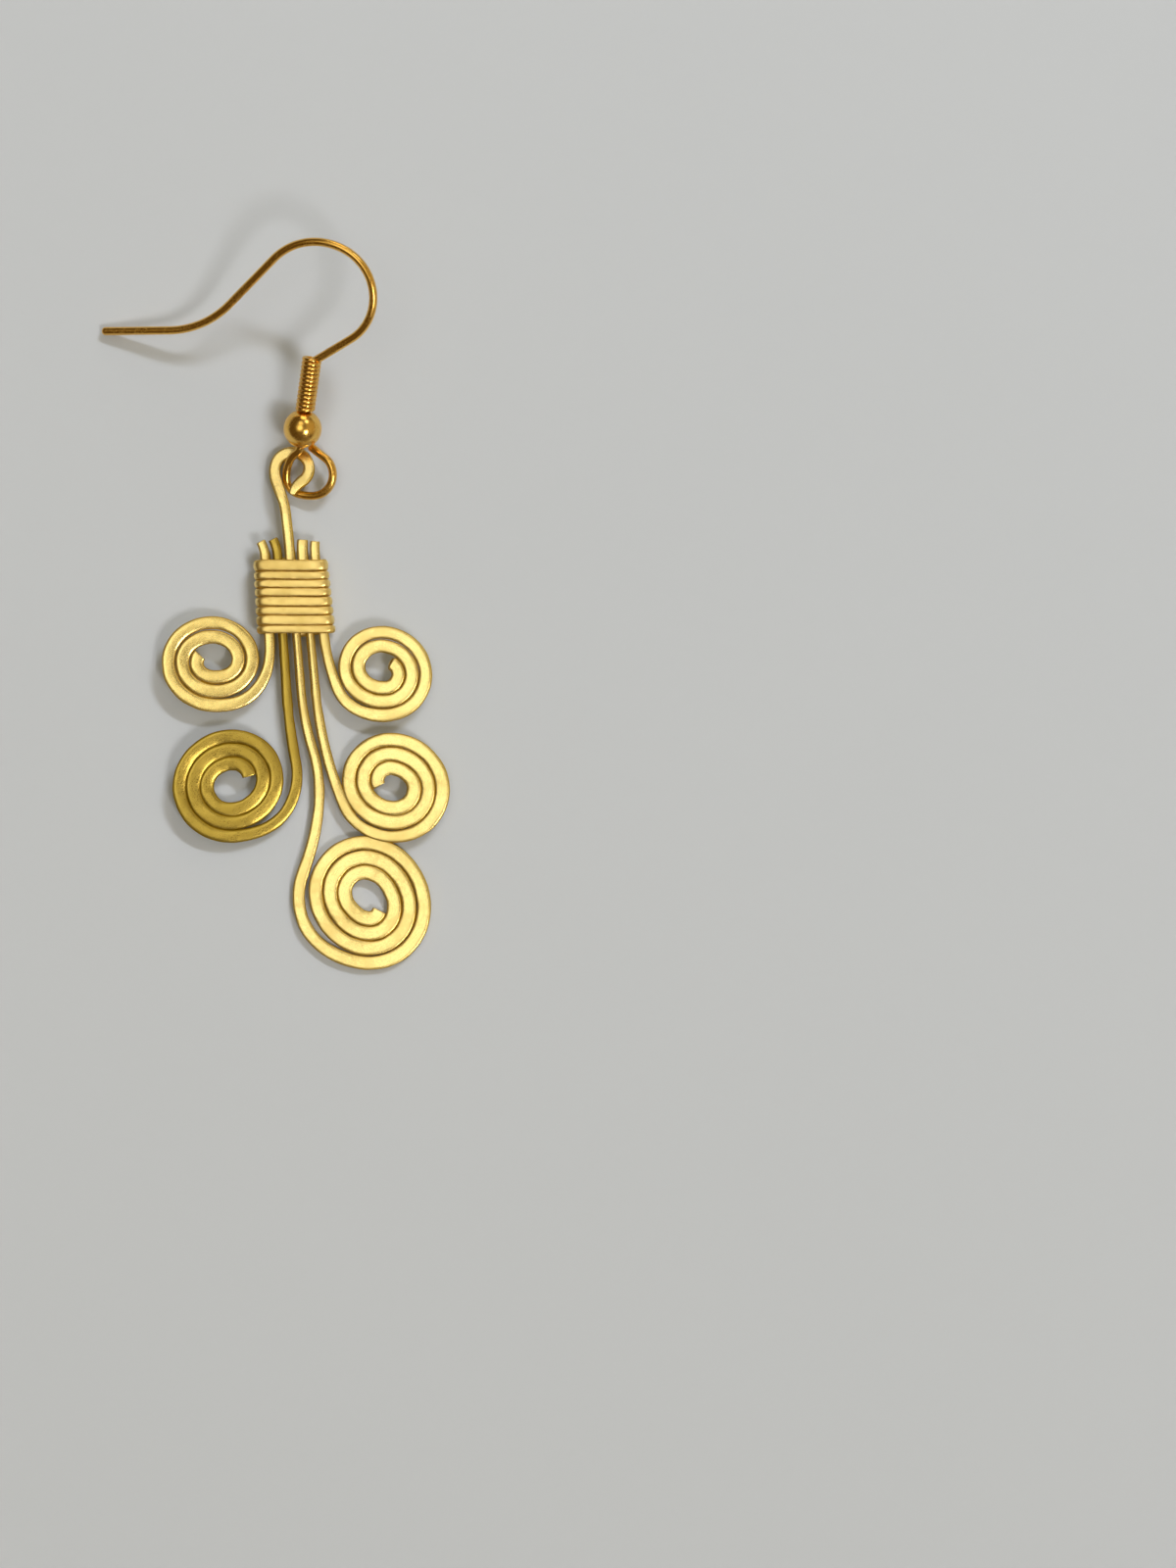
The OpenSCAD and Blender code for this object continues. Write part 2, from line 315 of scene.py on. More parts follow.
# The room round the table, which the metal mirrors: dim and warm, with soft patches of light,
# each laid over the ones before it. A patch has the way to its middle, how far it is full and
# how far it reaches, in degrees, and its colour.
ROOM = (0.1, 0.065, 0.025)
PATCHES = [
    # the brighter side of the room, on the right
    ((0.85, 0.1, 0.5), 15, 50, (0.45, 0.36, 0.2)),
    # low, far beyond the hook
    ((0.33, 2.4, 1.0), 8, 16, (2.5, 2.2, 1.6)),
    # high, beyond the hook
    ((-0.12, 0.5, 1.0), 8, 17, (1.5, 1.4, 1.2)),
    # round the lamp
    ((0.665, 0.95, 1.0), 5, 12, (3.0, 2.9, 2.7)),
    # small and strong, high on the near right
    ((0.52, -0.54, 1.0), 4, 10, (19.0, 18.3, 17.3)),
    # almost overhead, wide and yellow, with a whiter one in its middle
    ((-0.2, 0.0, 1.0), 12, 27, (0.6, 0.53, 0.25)),
    ((-0.2, 0.0, 1.0), 9, 18, (1.78, 1.72, 1.55)),
    # pale from straight down to a little above the horizon, as if the table went on
    ((0.0, 0.0, -1.0), 93, 97, (0.4, 0.39, 0.37)),
]
# The camera looks straight down. In millimetres: its place, how much it sees from top to bottom
# at the pendant's height, and the width of its sensor.
CAMERA_PLACE = (24.65, -13.703, 300)
VIEW_HEIGHT = 123.08
FOCUS_HEIGHT = 0.7
SENSOR = 36


# Places and routes


def moved(x, y, z):
    """A place moved from the origin."""
    place = np.eye(4)
    place[:3, 3] = (x, y, z)
    return place


def turned(axis, degrees):
    """A place turned about its X or Z axis."""
    angle = math.radians(degrees)
    i, j = {"x": (1, 2), "z": (0, 1)}[axis]
    place = np.eye(4)
    place[i, i] = place[j, j] = math.cos(angle)
    place[i, j] = -math.sin(angle)
    place[j, i] = math.sin(angle)
    return place


def stretch_end(length, turn):
    """The end of a stretch that starts along +X: straight, or an arc in the XY plane."""
    if abs(turn) < 1e-9:
        return moved(length, 0, 0)
    angle = math.radians(turn)
    radius = length / angle
    place = turned("z", turn)
    place[:3, 3] = (radius * math.sin(angle), radius * (1 - math.cos(angle)), 0)
    return place


def walk(start, stretches, step=0.04):
    """Distances and places along a route."""
    far, places, place, gone = [], [], start, 0.0
    for length, turn, roll in stretches:
        place = place @ turned("x", roll)
        count = max(1, math.ceil(length / step))
        for i in range(count):
            far.append(gone + length * i / count)
            places.append(place @ stretch_end(length * i / count, turn * i / count))
        place = place @ stretch_end(length, turn)
        gone += length
    far.append(gone)
    places.append(place)
    return np.array(far), np.array(places)


def in_slot(slot):
    """The place in a slot of the bundle, half way along the binding, with +X down the wire."""
    return (moved(*BUNDLE_MIDDLE) @ turned("x", BUNDLE_DIP) @ turned("z", BUNDLE_LEAN - 90)
            @ moved(0, SLOT_PITCH * slot, 0) @ turned("z", SLOT_FAN * slot))


def laid_at(place, points):
    """Points given along a place's own axes, in the frame."""
    return points @ place[:3, :3].T + place[:3, 3]


def unit(v):
    return v / np.linalg.norm(v, axis=-1, keepdims=True)


def tangents(points):
    return unit(np.gradient(points, axis=0))


def distances(points):
    """How far along its route each point lies."""
    steps = np.linalg.norm(np.diff(points, axis=0), axis=1)
    return np.concatenate([[0], np.cumsum(steps)])


def grown(values, start, over):
    """From 0 at a start to 1 where the values have gone on this far."""
    return np.clip((values - start) / over, 0, 1)


def read_at(at, far, values):
    """Values known at some distances, read at others."""
    values = np.asarray(values, float)
    columns = values.reshape(len(values), -1)
    read = np.stack([np.interp(at, far, columns[:, c]) for c in range(columns.shape[1])], 1)
    return read.reshape((len(at),) + values.shape[1:])


def evenly(far, values, step):
    """Even distances, about a step apart, and the values there."""
    at = np.linspace(0, far[-1], max(2, int(round(far[-1] / step)) + 1))
    return at, read_at(at, far, values)


def with_fine_ends(points, values):
    """Points and values with more samples close to both ends, where the cut edges are."""
    far = distances(points)
    at = np.unique(np.concatenate([far, END_SAMPLES, far[-1] - END_SAMPLES]))
    at = at[(at >= 0) & (at <= far[-1])]
    at = at[np.concatenate([[True], np.diff(at) > CLOSEST_SAMPLES])]
    return [read_at(at, far, column) for column in [points] + values]


def blurred(values, width):
    """A column of values, softened over a number of samples. The ends stay where they are."""
    reach = int(3 * width) + 1
    kernel = np.exp(-0.5 * (np.arange(-reach, reach + 1) / width) ** 2)
    kernel /= kernel.sum()
    values = np.asarray(values, float)
    columns = values.reshape(len(values), -1)
    before = 2 * columns[0] - columns[reach:0:-1]
    after = 2 * columns[-1] - columns[-2:-reach - 2:-1]
    padded = np.concatenate([before, columns, after])
    out = np.stack([np.convolve(padded[:, c], kernel, "valid") for c in range(columns.shape[1])], 1)
    return out.reshape(values.shape)


def carried(points, normal):
    """Normals that turn with a route as little as they can, from the first one on."""
    out = []
    for ahead in tangents(points):
        normal = normal - (normal @ ahead) * ahead
        normal = normal / np.linalg.norm(normal)
        out.append(normal)
    return np.array(out)


def wander(far, spacing, amount):
    """Smooth random values along a route, with a knot at every spacing."""
    knots = max(3, int(far[-1] / spacing) + 2)
    values = luck.normal(0, amount, knots)
    fine = np.interp(far, np.linspace(0, far[-1], knots), values)
    return blurred(fine, max(1.0, spacing / (far[1] - far[0]) * KNOT_SOFTNESS))


def blows(far, shortest, longest, amount, blend):
    """Steps of random height along a route, one for each blow of the hammer, with soft edges."""
    edges, at = [], 0.0
    while at < far[-1] + longest:
        edges.append(at)
        at += luck.uniform(shortest, longest)
    heights = luck.normal(0, amount, len(edges) + 1)
    steps = heights[np.searchsorted(edges, far)]
    return blurred(steps, max(1.0, blend / (far[1] - far[0])))


# Meshes


def new_piece(name, vertices, faces, coords, age=0.0):
    """A smooth mesh, with its place along and round the wire, and how old it looks."""
    mesh = bpy.data.meshes.new(name)
    mesh.from_pydata([tuple(v) for v in np.asarray(vertices) * MM], [], faces)
    mesh.validate()
    mesh.update()
    loops = np.empty(len(mesh.loops), dtype=np.int32)
    mesh.loops.foreach_get("vertex_index", loops)
    pairs = np.asarray(coords, np.float32)[loops]
    mesh.uv_layers.new(name="along_wire").data.foreach_set("uv", pairs.ravel())
    years = mesh.attributes.new("age", "FLOAT", "POINT")
    years.data.foreach_set("value", np.full(len(mesh.vertices), age, np.float32))
    mesh.polygons.foreach_set("use_smooth", [True] * len(mesh.polygons))
    piece = bpy.data.objects.new(name, mesh)
    bpy.context.scene.collection.objects.link(piece)
    return piece


def squared(values, power):
    """A circle's cosines or sines for each section, pressed square as its power grows from 2."""
    return np.sign(values)[None] * np.abs(values)[None] ** (2 / power[:, None])


def tube(name, points, normals, widths, heights, squareness, sides, ends=("cut", "cut"),
         tilt=None, age=0.0, ahead=None):
    """A wire with a section that changes along it, closed at both ends."""
    count = len(points)
    far = distances(points)
    ahead = tangents(points) if ahead is None else unit(ahead)
    side = unit(np.cross(normals, ahead))
    up = unit(np.cross(ahead, side))
    if tilt is not None:
        cosine, sine = np.cos(tilt)[:, None], np.sin(tilt)[:, None]
        side, up = side * cosine + up * sine, up * cosine - side * sine
    scale = np.ones(count)
    for from_end, kind in ((far, ends[0]), (far[-1] - far, ends[1])):
        scale *= np.interp(from_end, *zip(*END_SHAPES[kind]))
    around = np.linspace(0, 2 * math.pi, sides, endpoint=False)
    power = np.broadcast_to(np.asarray(squareness, float), (count,))
    x = squared(np.cos(around), power) * (np.broadcast_to(widths, (count,)) / 2 * scale)[:, None]
    y = squared(np.sin(around), power) * (np.broadcast_to(heights, (count,)) / 2 * scale)[:, None]
    rings = points[:, None] + side[:, None] * x[..., None] + up[:, None] * y[..., None]
    coords = np.stack(np.broadcast_arrays(far[:, None], around[None] / (2 * math.pi)), -1)
    faces = []
    for first in range(0, (count - 1) * sides, sides):
        after = first + sides
        faces += [(first + j, first + (j + 1) % sides, after + (j + 1) % sides, after + j)
                  for j in range(sides)]
    faces.append(tuple(range(sides - 1, -1, -1)))
    faces.append(tuple(range((count - 1) * sides, count * sides)))
    piece = new_piece(name, rings.reshape(-1, 3), faces, coords.reshape(-1, 2), age)
    for cut_face in piece.data.polygons[-2:]:
        cut_face.use_smooth = False
    return piece


# The pendant's wires


def stem_and_rings(name):
    """A wire's stretches from the middle of the binding: its stem, and its spiral's quarters."""
    plan, stem = SPIRALS[name], list(STEMS[name])
    length, _, roll = stem.pop()
    turns = sum(turn for _, turn, _ in stem)
    level = plan["hand"] * 90 - BUNDLE_LEAN - SLOT_FAN * plan["slot"] - turns
    stem.append((length, level, roll))
    rings = []
    for k in range(plan["quarters"] + 1):
        degrees = 90 if k < plan["quarters"] else plan["rest"]
        length = (plan["radius"] - plan["fall"] * k) * math.radians(degrees)
        rings.append((length, plan["hand"] * degrees, 0))
    return stem, rings


def quarters_at(plan, rings, past_stem):
    """The quarter of its spiral that a wire is in, this far past its stem."""
    lengths = np.concatenate([[0], np.cumsum([length for length, _, _ in rings])])
    marks = list(range(plan["quarters"] + 1)) + [plan["quarters"] + plan["rest"] / 90]
    on_stem = past_stem / (plan["radius"] * math.pi / 2)
    return np.where(past_stem < 0, on_stem, np.interp(past_stem, lengths, marks))


def out_of_true(off, quarter):
    """How far outwards a spiral lies from a true one."""
    along = np.radians(90 * quarter)
    push = (off["shift"] + off["drift"] * quarter
            + off["offset"] * np.cos(along - math.radians(off["offset_at"]))
            + off["oval"] * np.cos(2 * (along - math.radians(off["oval_at"]))))
    into = grown(quarter, -PUSH_OVER, PUSH_OVER)
    return push * (into * into * (3 - 2 * into))


def pliers_steps(quarter):
    """How far inwards a spiral lies where pliers bent it in short steps, more in its middle."""
    out = np.zeros(len(quarter))
    edge, last = 0.0, quarter[-1]
    while edge < last:
        span = luck.uniform(*PLIERS_STEP)
        inside = (quarter >= edge) & (quarter < edge + span)
        depth = luck.uniform(*PLIERS_CHANCE) * (PLIERS_OUTERMOST + (1 - PLIERS_OUTERMOST) * edge / last)
        x = (quarter[inside] - edge) / span * 2 - 1
        out[inside] = -depth * PLIERS_DEPTH * (1 - x * x)
        edge += span
    return out


def pendant_route(name):
    """The whole wire from its upper end: points, normals, and its quarters of the spiral."""
    plan = SPIRALS[name]
    start = in_slot(plan["slot"])
    stem, rings = stem_and_rings(name)
    far, places = walk(start, stem + rings)
    quarter = quarters_at(plan, rings, far - sum(length for length, _, _ in stem))
    push = out_of_true(OUT_OF_TRUE[name], quarter) + pliers_steps(quarter)
    outward = -plan["hand"] * places[:, :3, 1]
    points = places[:, :3, 3] + outward * push[:, None]

    top = walk(start @ turned("z", 180), TOPS[name])[1][:, :3, 3]
    top_normals = carried(top, start[:3, 2])
    return (np.concatenate([top[:0:-1], points]),
            np.concatenate([top_normals[:0:-1], places[:, :3, 2]]),
            np.concatenate([np.full(len(top) - 1, TOP_MARK), quarter]))


def spread_widths(name, quarter):
    """How wide the wire is along its spiral, where the rings all but touch."""
    widths = np.interp(quarter, *zip(*WIDTHS[name]))
    pitch = 4 * SPIRALS[name]["fall"]
    touching = pitch + np.interp(quarter, INNER_RINGS, (-TOUCHING, TOUCHING))
    widths = widths + grown(quarter, SPREAD_FROM, SPREAD_OVER) * np.maximum(touching - widths, 0)
    return blurred(widths, SECTION_BLUR)


def pendant_wire(name):
    """One of the five wires, hammered flat along its spiral, and its eye if it has one."""
    points, normals, quarter = pendant_route(name)
    far = distances(points)
    points, normals, quarter = [
        evenly(far, values, WIRE_STEP)[1] for values in (points, normals, quarter)]
    points = blurred(points, BEND_BLUR)
    normals = unit(blurred(normals, ROLL_BLUR))
    far = distances(points)

    above = quarter < STEM_MARKS_FROM
    eye = np.where(above, grown(points[:, 1], EYE_FROM, EYE_OVER), 0)
    widths = spread_widths(name, quarter)
    flatness = np.where(above, TOP_FLATNESS, grown(widths, WIRE, FULLY_SPREAD)) + EYE_FLATTER * eye
    heights = blurred(WIRE + (FLAT - WIRE) * flatness, SECTION_BLUR)
    widths = np.where(above, TOP_WIDTHS[name], widths) + EYE_WIDER * eye

    widths = widths + blows(far, *WIDTH_BLOWS) + wander(far, *WIDTH_WANDER)
    heights = heights + blows(far, *THICKNESS_BLOWS)
    tilt = np.radians(blows(far, *TILT_BLOWS)) * (TILT_WHEN_ROUND + (1 - TILT_WHEN_ROUND) * flatness)
    side = unit(np.cross(normals, tangents(points)))
    tilt -= side[:, :2] @ np.array(LEANS[name]) * np.where(above, 0, flatness)
    tilt -= side[:, 0] * EYE_LEAN * eye
    square = DRAWN_SQUARE + (SQUARES[name] + wander(far, *SQUARE_WANDER)) * flatness + eye
    ahead = unit(blurred(tangents(points), AHEAD_BLUR))
    points, normals, ahead, widths, heights, tilt, square = with_fine_ends(
        points, [normals, ahead, widths, heights, tilt, square])
    return tube(name, points, unit(normals), widths, heights, square, WIRE_SIDES, ENDS[name],
                tilt, AGES.get(name, 0.0), ahead)


# The binding


def round_the_edge(rise, bend):
    """The way round an outer wire from the back to the front: how far out, and how high."""
    around = np.radians(np.linspace(-90, 90, EDGE_ROWS)[1:-1])
    return [(rise * math.cos(a) ** bend, rise * math.copysign(abs(math.sin(a)) ** bend, a))
            for a in around]


def across_the_back(right, left, half, rise, width, shares):
    """Rows behind the wires, from the right edge of one turn to the left edge of the next."""
    return [(right + (left - right) * y, half - 2 * half * y, -rise, width, 0) for y in shares]


def binding_rows():
    """The wound wire: its place along, across and above the bundle, its width, and 1 in front."""
    rise = WIRE / 2 + BINDING_GAP + BINDING_HALF
    crossings = [along for along, _ in BINDING_TURNS]
    nexts = crossings[1:] + [crossings[-1] + BINDING_PITCH]
    rows = []
    for (along, width), following in zip(BINDING_TURNS, nexts):
        half = 2 * (SLOT_PITCH + along * math.tan(math.radians(SLOT_FAN)))
        slant = BINDING_SLANT * half
        if not rows:
            rows += across_the_back(along - BINDING_PITCH + slant, along - slant, half, rise, width,
                                    np.linspace(BINDING_STARTS, 1.0, START_ROWS))
        for out, up in round_the_edge(rise, LEFT_BEND):
            rows.append((along - slant, -half - out, up, width, 0))
        for y in np.linspace(-1, 1, FACE_ROWS):
            ripple = BINDING_RIPPLE * math.cos(y * 4 * math.pi)
            rows.append((along + slant * y, half * y, rise + ripple, width, 1))
        for out, up in reversed(round_the_edge(rise, RIGHT_BEND)):
            rows.append((along + slant, half + out, up, width, 0))
        last = BINDING_ENDS if along == crossings[-1] else 1.0
        rows += across_the_back(along + slant, following - slant, half, rise, width,
                                np.linspace(0, last, FACE_ROWS))
    return np.array(rows)


def binding():
    """The wound wire, pressed flat on its front."""
    rows = binding_rows()
    apart = np.linalg.norm(np.diff(rows[:, :3], axis=0), axis=1) > SAME_POINT
    rows = rows[np.concatenate([[True], apart])]
    far, rows = evenly(distances(rows[:, :3]), rows, BINDING_STEP)
    route = blurred(rows[:, :3], BINDING_BEND_BLUR)
    widths = blurred(rows[:, 3], BINDING_WIDTH_BLUR) + blows(far, *BINDING_WIDTH_BLOWS)
    front = blurred(rows[:, 4], BINDING_FRONT_BLUR)
    route[:, 0] += wander(far, *BINDING_WANDER) * front
    bundle = in_slot(0)
    points = laid_at(bundle, route)
    normals = unit(np.cross(tangents(points), bundle[:3, 0]))
    outward = np.einsum("ij,ij->i", normals, points - bundle[:3, 3])
    normals *= np.sign(outward)[:, None]
    heights = BINDING_THICK + blows(far, *BINDING_THICKNESS_BLOWS)
    tilt = np.radians(blows(far, *BINDING_TILT_BLOWS)) * front
    square = BINDING_SQUARE + PRESSED_SQUARE * front
    return tube("binding_wound", points, normals, widths - BINDING_GROOVE, heights, square,
                BINDING_SIDES, tilt=tilt)


# The ear hook, its coil and its bead


def at_tip():
    """The place at the tail's tip, with +X along the tail."""
    return (moved(*HOOK_BEND) @ turned("z", HOOK_DIRECTION) @ turned("x", HOOK_TILT)
            @ turned("z", TAIL_DIRECTION) @ moved(-HOOK_TAIL, 0, 0))


def shank():
    """The place where the straight shank starts, with +X down it."""
    _, places = walk(at_tip(), TAIL_AND_ARCH, step=1.0)
    return places[-1]


def hook_wire():
    """One round wire from the tail's tip to the end of the loop."""
    start = at_tip()
    far, places = walk(start, TAIL_AND_ARCH + SHANK_AND_LOOP, step=0.03)
    points = blurred(evenly(far, places[:, :3, 3], WIRE_STEP)[1], HOOK_BLUR)
    far = distances(points)
    points = points + start[:3, 2] * wander(far, *HOOK_WANDER)[:, None]
    normals = carried(points, start[:3, 2])
    widths = HOOK_WIRE + wander(far, *HOOK_WIDTH_WANDER)
    points, normals, ahead, widths = with_fine_ends(points, [normals, tangents(points), widths])
    return tube("ear_hook_wire", points, unit(normals), widths, widths, 2.0, HOOK_SIDES,
                ("round", "cut"), ahead=ahead)


def coil_wire():
    """Fine wire wound close round the shank."""
    place = shank()
    turns = np.linspace(0, COIL_TURNS, int(COIL_TURNS * COIL_SAMPLES_A_TURN))
    angle = 2 * math.pi * turns + math.radians(COIL_START)
    outward = np.stack([np.zeros(len(turns)), np.cos(angle), np.sin(angle)], 1)
    local = (COIL_OUTER - COIL_WIRE) / 2 * outward
    local[:, 0] = COIL_FROM + COIL_PITCH * turns
    lean = np.full(len(turns), COIL_LEAN)
    return tube("coil_wound", laid_at(place, local), outward @ place[:3, :3].T, COIL_WIDE, COIL_THICK,
                COIL_SQUARE, COIL_SIDES, tilt=lean, age=COIL_AGE)


def bead_outline():
    """The bead's section, round the ball and back through the bore: along the bore, and out."""
    ball, bore = BEAD / 2, BEAD_BORE / 2
    rim_at = math.asin((bore + BEAD_RIM) / ball)
    face = [(-ball * math.cos(a), ball * math.sin(a))
            for a in np.linspace(rim_at, math.pi - rim_at, BALL_SAMPLES)]
    half = -face[0][0]
    rim = [(half - BEAD_RIM * (1 - math.cos(b)), bore + BEAD_RIM - BEAD_RIM * math.sin(b))
           for b in np.linspace(RIM_FROM, math.pi / 2, RIM_SAMPLES)]
    straight = half - BEAD_RIM - BEAD_BORE_SHORT
    inside = [(x, bore) for x in np.linspace(straight, -straight, BORE_SAMPLES)]
    return face + rim + inside + [(-x, y) for x, y in reversed(rim)]


def bead_ball():
    """A turned bead: a ball with a bore whose rims are rounded."""
    outline = bead_outline()
    vertices, coords, faces = [], [], []
    for j, (x, r) in enumerate(outline):
        here, after = j * BEAD_SIDES, (j + 1) % len(outline) * BEAD_SIDES
        for i in range(BEAD_SIDES):
            a = 2 * math.pi * i / BEAD_SIDES
            n = (i + 1) % BEAD_SIDES
            vertices.append((x, r * math.cos(a), r * math.sin(a)))
            coords.append((i / BEAD_SIDES * BEAD_GIRTH, j * BEAD_SAMPLE))
            faces.append((here + i, here + n, after + n, after + i))
    place = shank() @ moved(BEAD_PLACE, 0, 0)
    return new_piece("bead_ball", laid_at(place, np.array(vertices)), faces, coords)


# Nodes


def feed(tree, socket, value):
    """A socket gets another node's output, or a value of its own."""
    if isinstance(value, bpy.types.NodeSocket):
        tree.links.new(value, socket)
    else:
        socket.default_value = value


def new_group(name, inputs, outputs):
    group = bpy.data.node_groups.new(name, "ShaderNodeTree")
    for label, kind, value in inputs:
        socket = group.interface.new_socket(name=label, in_out="INPUT", socket_type=kind)
        socket.default_value = value
    for label, kind in outputs:
        group.interface.new_socket(name=label, in_out="OUTPUT", socket_type=kind)
    return group, group.nodes.new("NodeGroupInput").outputs, group.nodes.new("NodeGroupOutput").inputs


def placed_group(tree, group, values):
    """A group placed in a material, with the material's own values."""
    node = tree.nodes.new("ShaderNodeGroup")
    node.node_tree = group
    for label, value in values.items():
        node.inputs[label].default_value = value
    return node


def math_node(tree, operation, *values, clamp=False):
    node = tree.nodes.new("ShaderNodeMath")
    node.operation = operation
    node.use_clamp = clamp
    for socket, value in zip(node.inputs, values):
        feed(tree, socket, value)
    return node.outputs[0]


def noise_node(tree, vector, scale, detail, roughness=0.5):
    node = tree.nodes.new("ShaderNodeTexNoise")
    for label, value in (("Vector", vector), ("Scale", scale), ("Detail", detail),
                         ("Roughness", roughness)):
        feed(tree, node.inputs[label], value)
    return node.outputs["Fac"]


def scaled_vector(tree, vector, x, y, z):
    node = tree.nodes.new("ShaderNodeMapping")
    tree.links.new(vector, node.inputs["Vector"])
    node.inputs["Scale"].default_value = (x, y, z)
    return node.outputs["Vector"]


def ramp(tree, value, low, high):
    """From 0 at the low value to 1 at the high one, with soft ends."""
    node = tree.nodes.new("ShaderNodeMapRange")
    node.inputs["From Min"].default_value = low
    node.inputs["From Max"].default_value = high
    node.interpolation_type = "SMOOTHSTEP"
    tree.links.new(value, node.inputs["Value"])
    return node.outputs["Result"]


def mixed(tree, share, first, second):
    """From the first colour to the second as the share goes from 0 to 1."""
    node = tree.nodes.new("ShaderNodeMix")
    node.data_type = "RGBA"
    tree.links.new(share, node.inputs["Factor"])
    for socket, colour in ((node.inputs[6], first), (node.inputs[7], second)):
        feed(tree, socket, (*colour, 1) if isinstance(colour, tuple) else colour)
    return node.outputs[2]


def spot_in_mm(tree):
    """Where a point lies, in millimetres."""
    where = tree.nodes.new("ShaderNodeTexCoord").outputs["Object"]
    return scaled_vector(tree, where, 1 / MM, 1 / MM, 1 / MM)


def along_wire(tree):
    """How far along the wire a point lies, in millimetres, and the share of the way round."""
    coords = tree.nodes.new("ShaderNodeUVMap")
    coords.uv_map = "along_wire"
    return coords.outputs["UV"]


# Materials


def metal_patina():
    """Colour of a metal that is darker and browner in patches, down its sides and with age."""
    group, given, made = new_group(
        "metal_patina",
        [("Metal", "NodeSocketColor", (1, 1, 1, 1)), ("Tarnish", "NodeSocketColor", (0, 0, 0, 1)),
         ("Patches", "NodeSocketFloat", 0.3), ("Sides", "NodeSocketFloat", 0.5),
         ("Patch Size", "NodeSocketFloat", 0.4)],
        [("Color", "NodeSocketColor"), ("Tarnished", "NodeSocketFloat")])
    cloud = noise_node(group, spot_in_mm(group), scale=given["Patch Size"], detail=4.0, roughness=0.6)
    patches = math_node(group, "MULTIPLY", ramp(group, cloud, low=0.42, high=0.72), given["Patches"])
    split = group.nodes.new("ShaderNodeSeparateXYZ")
    group.links.new(along_wire(group), split.inputs["Vector"])
    angle = math_node(group, "MULTIPLY", split.outputs["Y"], 2 * math.pi)
    sideways = math_node(group, "ABSOLUTE", math_node(group, "COSINE", angle))
    sides = math_node(group, "MULTIPLY", ramp(group, sideways, low=0.5, high=0.95), given["Sides"])
    years = group.nodes.new("ShaderNodeAttribute")
    years.attribute_name = "age"
    older = math_node(group, "ADD", patches, years.outputs["Fac"])
    share = math_node(group, "MAXIMUM", older, sides, clamp=True)
    group.links.new(mixed(group, share, given["Metal"], given["Tarnish"]), made["Color"])
    group.links.new(math_node(group, "MAXIMUM", patches, sides), made["Tarnished"])
    return group


def wire_marks():
    """Fine lines along a drawn wire, dents of a hammer, and a rough skin, rougher with tarnish."""
    group, given, made = new_group(
        "wire_marks",
        [("Lines", "NodeSocketFloat", 0.5), ("Dents", "NodeSocketFloat", 0.5),
         ("Grain", "NodeSocketFloat", 0.3), ("Smoothest", "NodeSocketFloat", 0.2),
         ("Roughest", "NodeSocketFloat", 0.45), ("Tarnished", "NodeSocketFloat", 0.0)],
        [("Height", "NodeSocketFloat"), ("Roughness", "NodeSocketFloat")])
    spot = spot_in_mm(group)
    drawn = scaled_vector(group, along_wire(group), x=0.8, y=60, z=1)
    lines = noise_node(group, drawn, scale=3.0, detail=3.0, roughness=0.65)
    dents = noise_node(group, spot, scale=1.6, detail=2.0, roughness=0.4)
    grain = noise_node(group, spot, scale=14.0, detail=5.0, roughness=0.7)
    height = math_node(group, "ADD", math_node(group, "MULTIPLY", lines, given["Lines"]),
                       math_node(group, "MULTIPLY", dents, given["Dents"]))
    height = math_node(group, "ADD", height, math_node(group, "MULTIPLY", grain, given["Grain"]))
    group.links.new(height, made["Height"])
    blend = math_node(group, "ADD", math_node(group, "MULTIPLY", lines, LINES_IN_ROUGHNESS),
                      math_node(group, "MULTIPLY", grain, GRAIN_IN_ROUGHNESS))
    span = math_node(group, "SUBTRACT", given["Roughest"], given["Smoothest"])
    rough = math_node(group, "MULTIPLY", ramp(group, blend, low=0.38, high=0.62), span)
    rough = math_node(group, "ADD", given["Smoothest"], rough)
    dull = math_node(group, "MULTIPLY", given["Tarnished"], TARNISH_ROUGHNESS)
    group.links.new(math_node(group, "ADD", rough, dull), made["Roughness"])
    return group


PATINA = metal_patina()
MARKS = wire_marks()


def metal(name, colour, tarnish, patches, sides, patch_size, lines, dents, grain, rough, bump):
    """A metal with its patina and marks: the shares of each, roughness from and to, bump in mm."""
    material = bpy.data.materials.new(name)
    material.use_nodes = True
    tree = material.node_tree
    shader = tree.nodes["Principled BSDF"]
    shader.inputs["Metallic"].default_value = 1.0
    patina = placed_group(tree, PATINA, {
        "Metal": (*colour, 1), "Tarnish": (*tarnish, 1), "Patches": patches, "Sides": sides,
        "Patch Size": patch_size})
    marks = placed_group(tree, MARKS, {
        "Lines": lines, "Dents": dents, "Grain": grain, "Smoothest": rough[0], "Roughest": rough[1]})
    relief = tree.nodes.new("ShaderNodeBump")
    relief.inputs["Strength"].default_value = 1.0
    relief.inputs["Distance"].default_value = bump * MM
    tree.links.new(patina.outputs["Color"], shader.inputs["Base Color"])
    tree.links.new(patina.outputs["Tarnished"], marks.inputs["Tarnished"])
    tree.links.new(marks.outputs["Roughness"], shader.inputs["Roughness"])
    tree.links.new(marks.outputs["Height"], relief.inputs["Height"])
    tree.links.new(relief.outputs["Normal"], shader.inputs["Normal"])
    return material


def hammered_brass():
    """Satin yellow brass, with tarnish left between the rings."""
    return metal("hammered_brass", colour=(0.97, 0.77, 0.31), tarnish=(0.62, 0.4, 0.01), patches=0.15,
                 sides=0.9, patch_size=0.35, lines=0.06, dents=0.8, grain=0.1, rough=(0.22, 0.34),
                 bump=0.02)


